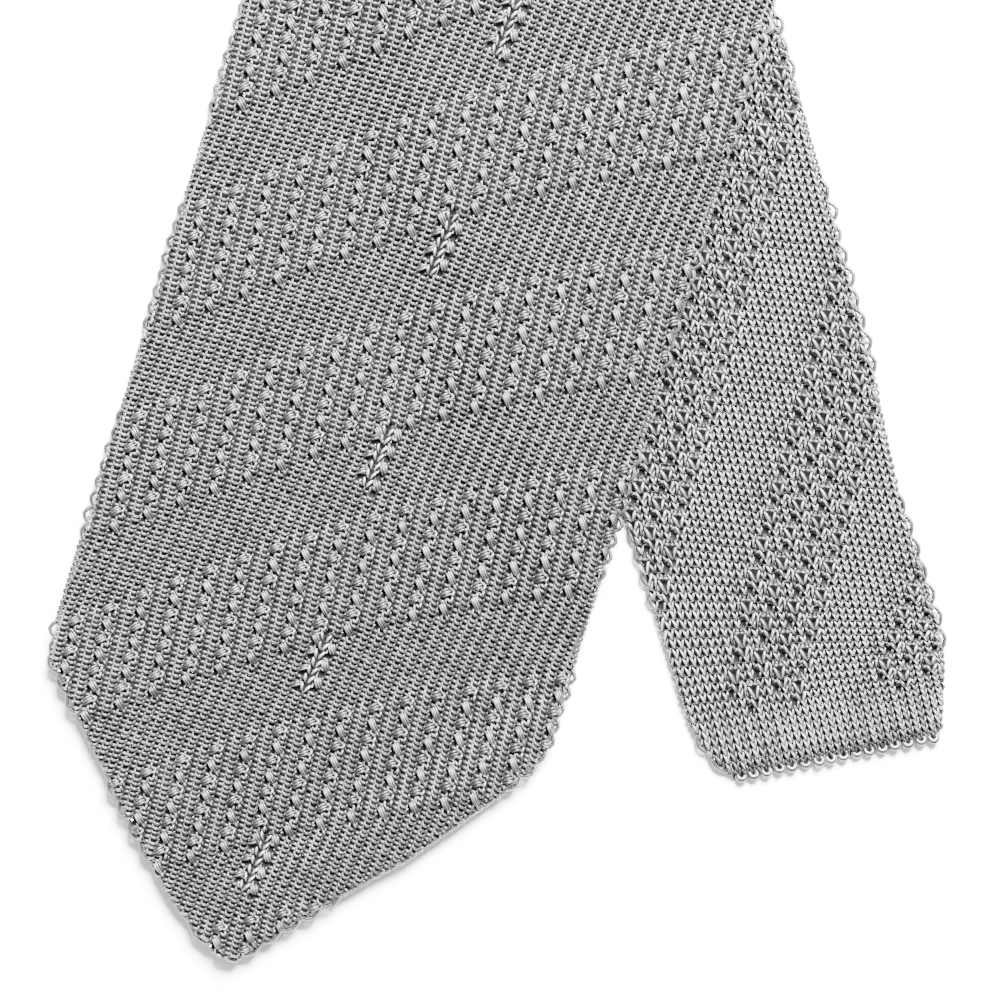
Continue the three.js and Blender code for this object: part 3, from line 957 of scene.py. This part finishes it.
def knit_course(strands, row, chance):
    """One course of the reverse side, whose loops show as upright V shapes."""
    first, last = TAIL_FIRST_WALE, TAIL_LAST_WALE
    turn = (first * LOOP_STEPS + np.arange((last - first) * LOOP_STEPS + 1)) * 2 * math.pi / LOOP_STEPS
    here = turn / (2 * math.pi)
    wale = here + TAIL_SWING * np.sin(2 * turn) / (2 * math.pi)
    knots = first + np.arange(2 * (last - first) + 1) / 2
    stray = chance.normal(0.0, 1.0, (4, len(knots)))
    shift, lift, thick, tone = (np.interp(here, knots, values) for values in stray)
    rise = mix(TAIL_END_RISE, TAIL_RISE, ease((row - 5.0) / 5.0))
    rows = np.full_like(wale, float(row)) + rise * np.cos(turn) + STRAY_ROW * shift
    hollow = near_any(wale, rows, TAIL_SITES, TAIL_HOLES)
    beneath = near_any(wale, rows, TAIL_SITES, TAIL_PADS)
    x, y, base, shown = tail_spot(wale, rows)
    between = 0.5 - 0.5 * np.cos(math.pi * wale)  # 1 midway between two columns of bubbles
    # A furrow is lowered and painted darker as shade: between columns of bubbles in a band, and in the
    # last rows above the cast-off edge
    furrow = 1.4 * tail_band_share(wale, rows) * between + 2.5 * ease(1 - (row - 0.5) / 2.5)
    height = base - TAIL_WAVE * np.cos(2 * turn) - TAIL_TUCK * np.cos(turn)
    height += TAIL_STRAY_HEIGHT * lift - TAIL_PAD_SINK * ease(beneath * 2) - 0.16 * furrow
    leftward = -np.sin(turn)
    leg = np.abs(leftward)
    thickness = 0.74 + 0.3 * leg - 0.08 * np.cos(turn) + STRAY_THICKNESS * thick + 0.1 * leftward
    radius = TAIL_YARN_RADIUS * thickness
    # Painted light and shade: the raised legs are lighter, and the lower heads and feet, the yarn beneath
    # a bubble and the yarn in a furrow are darker; the leftward leg is a little lighter
    shade = TAIL_TONE + 0.32 * leg - 0.14 * np.cos(turn) + TAIL_STRAY_TONE * tone + 0.1 * leftward
    shade -= PAD_SHADE * ease(beneath * 2) + 0.26 * furrow
    places = np.stack([x, y, height], axis=1)
    strands.add_visible(places, radius, shade, shown & (hollow <= 0.0))


def tail_yarn(first, last, seed):
    strands = Strands()
    chance = np.random.default_rng(seed)
    for row in range(first, last):
        knit_course(strands, row, chance)
    return strands


def edge_turns(strands, x, y, height, banded, side, chance):
    """Turns of yarn standing out along an edge, wide ones where a band of bubbles meets it."""
    share = np.linspace(0.0, 1.0, 5)
    arch = np.sin(math.pi * share)
    step = 0
    while step + BUBBLE_ROWS < len(x):
        wide = bool(banded[step])
        after = step + (BUBBLE_ROWS if wide else 1)
        run = np.array([x[after] - x[step], y[after] - y[step]])
        outward = side * np.array([run[1], -run[0]]) / math.hypot(*run)
        bulge = (EDGE_BUBBLE if wide else EDGE_TOOTH) * (1 + 0.2 * chance.normal())
        out = bulge * arch - EDGE_ROOT
        places = np.stack([
            x[step] + run[0] * share + outward[0] * out,
            y[step] + run[1] * share + outward[1] * out,
            height[step] + 0.2 * arch,
        ], axis=1)
        radius = EDGE_BUBBLE_RADIUS if wide else EDGE_TOOTH_RADIUS
        strands.add(places, radius, EDGE_TONE + TAIL_STRAY_TONE * chance.normal())
        step = after


def blade_edges(strands, chance):
    """The turns along both edges of the blade."""
    from_tip = np.arange(FIRST_EDGE_TURN, KNITTED_REACH, EDGE_TURN_PITCH)
    grid = np.arange(FIRST_ROW, LAST_ROW + 20)
    left, right = blade_widths(from_tip)
    whole, _ = blade_widths(np.maximum(from_tip, POINT_LENGTH))
    for side, across in ((-1, -left), (1, right)):
        row = np.interp(from_tip + row_droop(across), row_from_tip(grid), grid)
        wale = EDGE_WALE + (across + whole) / (BLADE_LEFT + BLADE_RIGHT) * WALES
        x, y = BLADE_LEG.place(from_tip - BLADE_LENGTH, across)
        height = blade_underside(x, y, across, from_tip) + EDGE_HEIGHT
        edge_turns(strands, x, y, height, band_share(wale, row) > 0.5, side, chance)


def tail_edges(strands, chance):
    """The turns along both edges of the tail, as far as the blade leaves them in sight."""
    from_end = np.arange(FIRST_EDGE_TURN, TAIL_KNITTED, TAIL_TURN_PITCH)
    left, right = tail_widths(from_end)
    slope = TAIL_ROW_SLOPE * ease(from_end / TAIL_SLOPE_LENGTH)
    for side, across in ((-1, -left), (1, right)):
        wale = TAIL_MIDDLE_WALE + (across - TAIL_DRIFT * from_end) / TAIL_WALE_PITCH
        banded = tail_band_place(wale, (from_end + slope * across) / TAIL_ROW_PITCH) < BAND_ROWS
        x, y = TAIL_LEG.place(from_end - TAIL_LENGTH, across, tail_turn(from_end))
        open_part = under_blade(x, y) < 0
        height = np.full(len(x), EDGE_HEIGHT)
        edge_turns(strands, x[open_part], y[open_part], height, banded[open_part], side, chance)


def tail_bubble_yarn(seed):
    strands = Strands()
    chance = np.random.default_rng(seed)
    pattern_yarn(strands, TAIL_SITES, TAIL_BUBBLE, tail_spot, chance)
    tail_edges(strands, chance)
    return strands


def blade_pattern_yarn(seed):
    strands = Strands()
    chance = np.random.default_rng(seed)
    for kind in BLADE_PATTERNS:
        pattern_yarn(strands, kind["sites"], kind["strands"], blade_spot, chance)
    blade_edges(strands, chance)
    return strands


def cast_off_loops(seed):
    """The row of fat cast-off loops along the tail's end."""
    strands = Strands()
    chance = np.random.default_rng(seed)
    left, right = (float(width[0]) for width in tail_widths(np.zeros(1)))
    count = round((left + right) / CAST_OFF_PITCH)
    turn = np.linspace(-0.72, 0.72, 9) * math.pi
    for step in range(count):
        middle = -left + (step + 0.5) * (left + right) / count + 0.08 * chance.normal()
        reach = CAST_OFF_REACH * (1 + 0.12 * chance.normal())
        across = middle + CAST_OFF_PITCH * 0.3 * np.sin(turn)
        from_end = CAST_OFF_ROOT - reach * np.cos(turn)
        x, y = TAIL_LEG.place(from_end - TAIL_LENGTH, across, tail_turn(np.zeros(9)))
        height = CAST_OFF_HEIGHT + 0.25 * np.cos(turn) + 0.1 * chance.normal()
        radius = CAST_OFF_RADIUS * (1 + 0.06 * chance.normal()) * (0.8 + 0.2 * np.cos(turn / 2))
        tone = CAST_OFF_TONE + TAIL_STRAY_TONE * chance.normal()
        strands.add(np.stack([x, y, height], axis=1), radius, tone)
    return strands


CLOTH_EDGE = 0.9  # thickness of the cloth at its very edge
EDGE_ROUND = 1.5
CORE_THICKNESS = 0.9  # of the cloth beneath the modelled yarn
CORE_MIDDLE = 0.55  # height of its middle
CORE_INSET = 0.7
CORE_FADE = 3.0
CLOTH_COLUMNS = 40
JOIN_GAP = 0.15


def cloth_columns(left, right, bare, columns):
    """Across and thickness over a row of cloth, rounded at both edges and thin where the yarn shows."""
    share = (1 - np.cos(np.linspace(0.0, math.pi, columns + 1))) / 2
    share = mix(np.linspace(0.0, 1.0, columns + 1), share, 0.35)
    inset = mix(CORE_INSET, 0.0, bare)
    left, right = left - inset, right - inset
    across = mix(-left[:, None], right[:, None], share[None, :])
    rim = np.minimum(across + left[:, None], right[:, None] - across)
    whole = mix(CORE_THICKNESS, KNIT_THICKNESS, bare)[:, None]
    edge = np.minimum(CLOTH_EDGE, whole * 0.6)
    thickness = mix(edge, whole, np.sqrt(np.clip(rim / EDGE_ROUND, 0.0, 1.0)))
    return across, thickness, share


def layers(x, y, middle, thickness):
    return (
        np.stack([x, y, middle - thickness / 2], axis=2),
        np.stack([x, y, middle + thickness / 2], axis=2),
    )


def chart_of(share, along, wales, pitch):
    wale = np.broadcast_to(share[None, :] * wales, along.shape)
    return np.stack([wale, along / pitch], axis=2)


def blade_cloth():
    """The blade's cloth: thin and painted dark as shade beneath the modelled yarn, and whole further up.
    """
    top = BLADE_LENGTH + BLADE_LEG.arc / 2 - JOIN_GAP
    rows = np.concatenate([np.linspace(0.6, POINT_LENGTH, 48), np.linspace(POINT_LENGTH, top, 250)[1:]])
    bare = ease((rows - KNITTED_REACH + CORE_FADE) / CORE_FADE)
    across, thickness, share = cloth_columns(*blade_widths(rows), bare, CLOTH_COLUMNS)
    from_tip = np.broadcast_to(rows[:, None], across.shape)
    x, y = BLADE_LEG.place(from_tip - BLADE_LENGTH, across)
    middle = blade_underside(x, y, across, from_tip) + mix(CORE_MIDDLE, KNIT_THICKNESS / 2, bare)[:, None]
    low, high = layers(x, y, middle, thickness)
    covered = int((rows < KNITTED_REACH - 0.5).sum())
    return closed_cloth("blade_cloth", low, high, chart_of(share, from_tip, WALES, ROW_PITCH), covered)


def tail_cloth():
    """The tail's cloth, flat on the surface beneath the blade."""
    top = TAIL_LENGTH + TAIL_LEG.arc / 2 - JOIN_GAP
    rows = np.concatenate([np.linspace(0.6, TAIL_KNITTED, 60), np.linspace(TAIL_KNITTED, top, 200)[1:]])
    bare = ease((rows - TAIL_KNITTED + CORE_FADE) / CORE_FADE)
    across, thickness, share = cloth_columns(*tail_widths(rows), bare, CLOTH_COLUMNS // 2)
    from_end = np.broadcast_to(rows[:, None], across.shape)
    x, y = TAIL_LEG.place(from_end - TAIL_LENGTH, across, tail_turn(from_end))
    middle = np.broadcast_to(mix(CORE_MIDDLE, KNIT_THICKNESS / 2, bare)[:, None], x.shape)
    low, high = layers(x, y, middle, thickness)
    covered = int((rows < TAIL_KNITTED - 0.5).sum())
    return closed_cloth("tail_cloth", low, high, chart_of(share, from_end, WALES, TAIL_ROW_PITCH), covered)


def neck_cloth():
    """The narrow stretch round the neck: up from the tail, over the soft fold and down to the blade."""
    fold_radius = FOLD_HOLLOW + KNIT_THICKNESS / 2
    lower = np.linspace(TAIL_LEG.arc / 2 + JOIN_GAP, TAIL_LEG.arc, 120)
    upper = np.linspace(BLADE_LEG.arc, BLADE_LEG.arc / 2 + JOIN_GAP, 120)
    fold = np.linspace(0.0, math.pi, 20)[1:-1]
    low_x, low_y, low_heading = TAIL_LEG.at(lower)
    high_x, high_y, high_heading = BLADE_LEG.at(upper)
    centre_x = np.concatenate([low_x, mix(low_x[-1], high_x[0], fold / math.pi), high_x])
    heading = np.concatenate([low_heading, np.full(len(fold), low_heading[-1]), high_heading])
    half = NECK_HALF_WIDTH / np.cos(heading)
    across, thickness, share = cloth_columns(half, half, np.ones(len(half)), CLOTH_COLUMNS // 2)
    x = centre_x[:, None] + across

    def spread(values):
        return np.broadcast_to(values[:, None], (len(values), across.shape[1]))

    first, last = len(lower), len(lower) + len(fold)
    relaxed = (2 * fold_radius - LAYER_HEIGHT) * ease(1 - (LEG_REACH - high_y) / FOLD_RELAX)
    lower_middle = np.full((first, across.shape[1]), KNIT_THICKNESS / 2)
    upper_middle = height_over_tail(x[last:], spread(high_y)) + relaxed[:, None] + KNIT_THICKNESS / 2
    lower_low, lower_high = layers(x[:first], spread(low_y), lower_middle, thickness[:first])
    upper_low, upper_high = layers(x[last:], spread(high_y), upper_middle, thickness[last:])

    def folded(side):
        radius = fold_radius - side * thickness[first:last] / 2
        y = LEG_REACH + radius * np.sin(fold)[:, None]
        z = KNIT_THICKNESS / 2 + fold_radius - radius * np.cos(fold)[:, None]
        return np.stack([x[first:last], y, z], axis=2)

    low = np.concatenate([lower_low, folded(-1), upper_high])
    high = np.concatenate([lower_high, folded(1), upper_low])
    along = np.concatenate([lower, TAIL_LEG.arc + fold * fold_radius, 2 * TAIL_LEG.arc + 8 - upper])
    chart = chart_of(share, spread(along), WALES, TAIL_ROW_PITCH)
    return closed_cloth("neck_cloth", low, high, chart)


def point_hem(name, side):
    """A strip of the cloth turned under along one edge of the point."""
    rows = np.linspace(HEM_INSET, POINT_LENGTH + HEM_DEPTH, 40)
    edges = blade_widths(rows)[0 if side < 0 else 1] - HEM_INSET
    inner = blade_widths(rows - HEM_DEPTH)[0 if side < 0 else 1]
    tip_left, tip_right = blade_widths(np.zeros(1))
    mitre = side * float(tip_right[0] - tip_left[0]) / 2 + JOIN_GAP
    inner = np.where(rows < HEM_DEPTH, mitre, inner)
    kept = edges - inner > HEM_LEAST
    rows, edges, inner = rows[kept], edges[kept], inner[kept]
    share = np.linspace(0.0, 1.0, 9)
    out = mix(inner[:, None], edges[:, None], share[None, :])
    across = side * out if side > 0 else side * out[:, ::-1]
    from_tip = np.broadcast_to(rows[:, None], across.shape)
    x, y = BLADE_LEG.place(from_tip - BLADE_LENGTH, across)
    rim = np.minimum(out - inner[:, None], edges[:, None] - out)
    rim = rim if side > 0 else rim[:, ::-1]
    thickness = mix(0.5, HEM_THICKNESS, np.sqrt(np.clip(rim, 0.0, 1.0)))
    low, high = layers(x, y, np.full(x.shape, HEM_THICKNESS / 2), thickness)
    chart = np.stack([across / (BLADE_LEFT + BLADE_RIGHT) * WALES, from_tip / ROW_PITCH], axis=2)
    return closed_cloth(name, low, high, chart)


# The camera looks straight down at the lower part of the tie.
FIELD = 1000 / 6.0  # millimetres across the photograph
LENS = 100.0
SENSOR = 36.0
VIEW_CENTRE = (-10.0, -115.333)  # in the tie's own plan
FLOOR_HALF = 4.0  # metres


def add_camera():
    data = bpy.data.cameras.new("view_from_above")
    data.lens = LENS
    data.sensor_width = SENSOR
    data.clip_end = 20.0
    camera = bpy.data.objects.new("view_from_above", data)
    distance = FIELD * LENS / SENSOR
    camera.location = Plan.in_frame((*VIEW_CENTRE, distance + KNIT_THICKNESS))
    bpy.context.collection.objects.link(camera)
    bpy.context.scene.camera = camera


def add_light(name, place, aim, size, power):
    data = bpy.data.lights.new(name, "AREA")
    data.size = size
    data.energy = power
    lamp = bpy.data.objects.new(name, data)
    place, aim = np.array(place), np.array(aim)
    lamp.location = place
    lamp.rotation_euler = Vector(aim - place).to_track_quat("-Z", "Y").to_euler()
    bpy.context.collection.objects.link(lamp)


def add_floor():
    finish = Finish("white_paper", Base_Color=(0.93, 0.93, 0.93, 1.0), Roughness=0.95)
    corners = np.array([[-1, -1, 0], [1, -1, 0], [1, 1, 0], [-1, 1, 0]]) * FLOOR_HALF
    floor = body_mesh("floor", corners, np.array([[0, 1, 2, 3]]))
    floor.data.materials.append(finish.material)


def add_world(strength):
    world = bpy.data.worlds.new("pale_room")
    world.use_nodes = True
    background = world.node_tree.nodes["Background"]
    background.inputs["Color"].default_value = (1.0, 1.0, 1.0, 1.0)
    background.inputs["Strength"].default_value = strength
    bpy.context.scene.world = world


add_camera()
aim = Plan.in_frame((-10.0, -115.0, 0.0))
add_light("key", aim + np.array([0.18, 0.55, 0.56]), aim, 0.4, 225.0)
add_light("fill", aim + np.array([-0.7, -0.5, 0.9]), aim, 0.8, 8.0)
add_world(0.68)
add_floor()

blade = blade_cloth()
tail = tail_cloth()
neck = neck_cloth()
hems = [point_hem("hem_left", -1), point_hem("hem_right", 1)]
courses = [(FIRST_ROW, 60), (60, 130), (130, LAST_ROW)]
blade_pieces = []
for number, (first, last) in enumerate(courses):
    piece = knit_piece("blade_yarn_%d" % (number + 1), blade_yarn(first, last, 11 + number), YARN)
    blade_pieces.append(piece)
blade_pieces.append(knit_piece("blade_pattern_yarn", blade_pattern_yarn(14), YARN))
tail_pieces = [
    knit_piece("tail_yarn_1", tail_yarn(-1, 55, 21), YARN),
    knit_piece("tail_yarn_2", tail_yarn(55, TAIL_ROWS, 22), YARN),
    knit_piece("tail_bubble_yarn", tail_bubble_yarn(23), YARN),
]
cast_off = knit_piece("cast_off_loops", cast_off_loops(24), YARN, 6)

for piece in [blade, tail, neck, *hems, *blade_pieces, *tail_pieces]:
    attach(piece, "root")
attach(cast_off, "root")
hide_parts("wide_blade")
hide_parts("point_hem_left")
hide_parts("point_hem_right")
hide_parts("narrow_tail")
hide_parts("neck_band")
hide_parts("tail_end_edge")
